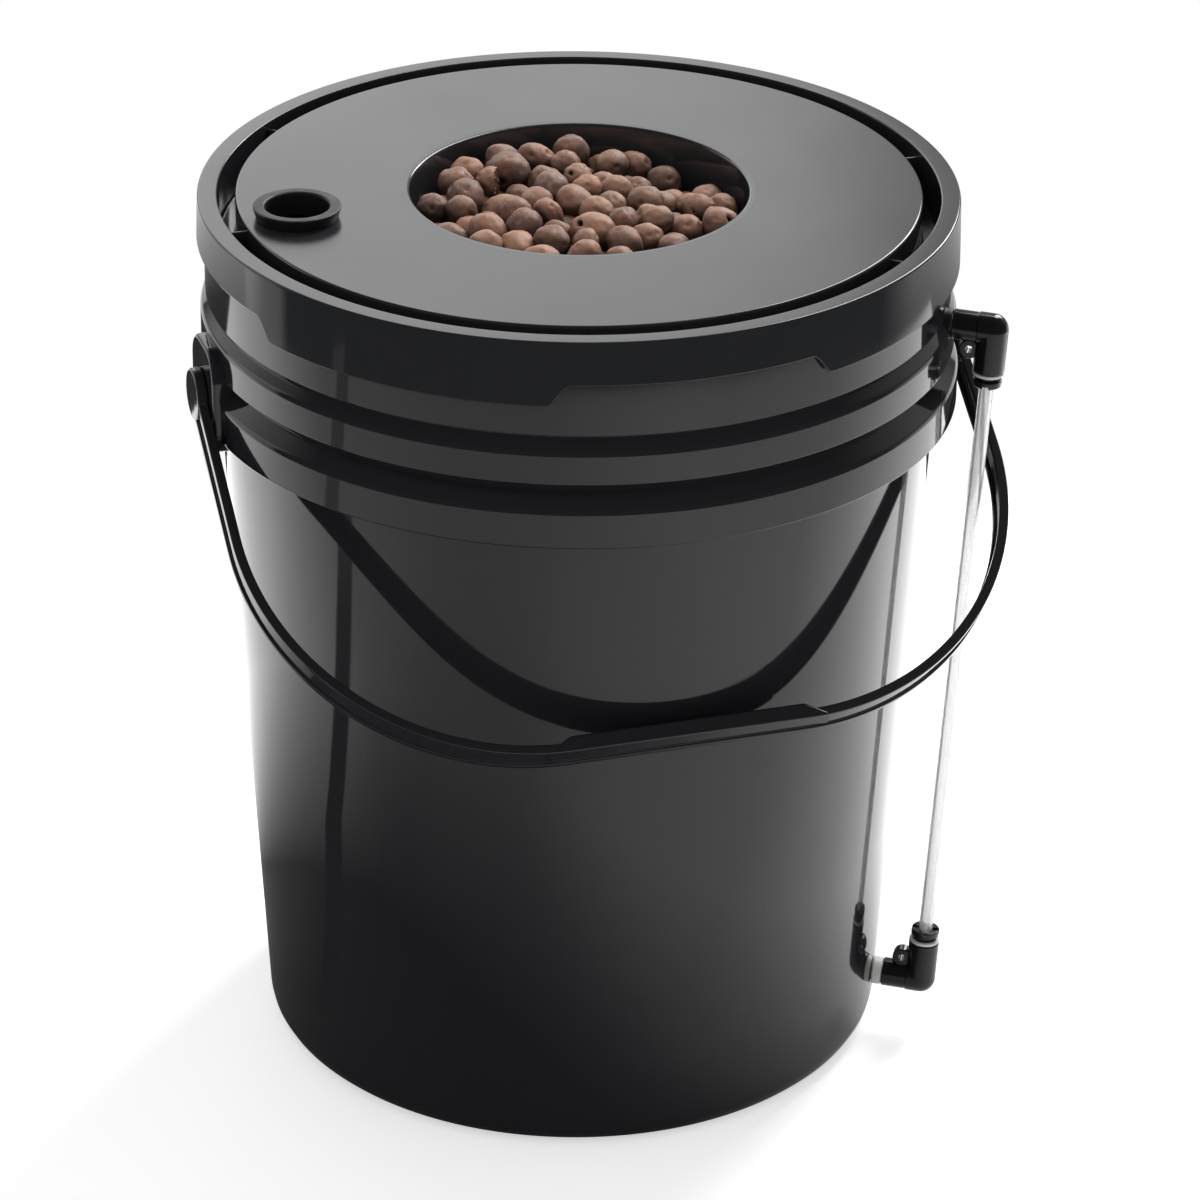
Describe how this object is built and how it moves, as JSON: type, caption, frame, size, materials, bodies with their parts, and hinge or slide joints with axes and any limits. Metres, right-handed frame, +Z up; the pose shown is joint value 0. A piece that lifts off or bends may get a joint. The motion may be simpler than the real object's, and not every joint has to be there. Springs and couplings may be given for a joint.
{
  "type": "deep water culture bucket",
  "caption": "Black plastic growing bucket with a snap lid, a sunken net basket of clay pebbles, a bail handle, a sight tube for the water level and an air stone inside.",
  "frame": {"origin": "centre of the bucket's flat underside, on the surface it stands on", "axes": "+Z up along the bucket's axis, +X towards the side with the sight tube, -Y towards the front where the bail hangs"},
  "size_m": [0.3376, 0.3275, 0.3832],
  "materials": {
    "bucket_black": "gloss",
    "lid_black": "gloss",
    "black_rubber": "satin",
    "fitting_black": "satin",
    "white_nylon": "satin",
    "clear_tube": "gloss",
    "spring_steel": "satin",
    "fired_clay": "matte",
    "porous_stone": "matte",
    "blue_plastic": "satin"
  },
  "bodies": {
    "bucket": {"bucket": "bucket_black", "sight_tube": "clear_tube", "air_stone": "porous_stone", "air_stone_base": "blue_plastic", "air_stone_barb": "white_nylon", "air_stone_foot_1": "black_rubber", "air_stone_foot_2": "black_rubber", "air_stone_foot_3": "black_rubber", "upper_elbow": "fitting_black", "upper_stem": "white_nylon", "upper_locknut": "fitting_black", "upper_washer": "black_rubber", "upper_o_ring": "black_rubber", "upper_grab_ring": "spring_steel", "upper_guide_ring": "white_nylon", "lower_elbow": "fitting_black", "lower_stem": "white_nylon", "lower_locknut": "fitting_black", "lower_washer": "white_nylon", "lower_o_ring": "black_rubber", "lower_grab_ring": "spring_steel", "lower_guide_ring": "white_nylon"},
    "lid": {"lid": "lid_black", "net_basket": "lid_black", "clay_pebbles": "fired_clay", "lid_grommet": "black_rubber"},
    "handle": {"handle": "bucket_black"},
    "upper_collet": {"upper_collet": "fitting_black"},
    "lower_collet": {"lower_collet": "fitting_black"}
  },
  "joints": [
    {"name": "handle_swing", "type": "hinge", "parent": "bucket", "child": "handle", "pos_m": [0, 0, 0.306], "axis": [-0.9537, -0.3007, 0], "range_deg": [0, 249]},
    {"name": "lid_lift", "type": "slide", "parent": "bucket", "child": "lid", "axis": [0, 0, 1], "range_m": [0, 0.16]},
    {"name": "upper_collet_press", "type": "slide", "parent": "bucket", "child": "upper_collet", "axis": [0.056, -0.0109, 0.9984], "range_m": [0, 0.0015], "stiffness_N_per_m": 400},
    {"name": "lower_collet_press", "type": "slide", "parent": "bucket", "child": "lower_collet", "axis": [-0.056, 0.0109, -0.9984], "range_m": [0, 0.0015], "stiffness_N_per_m": 400}
  ]
}
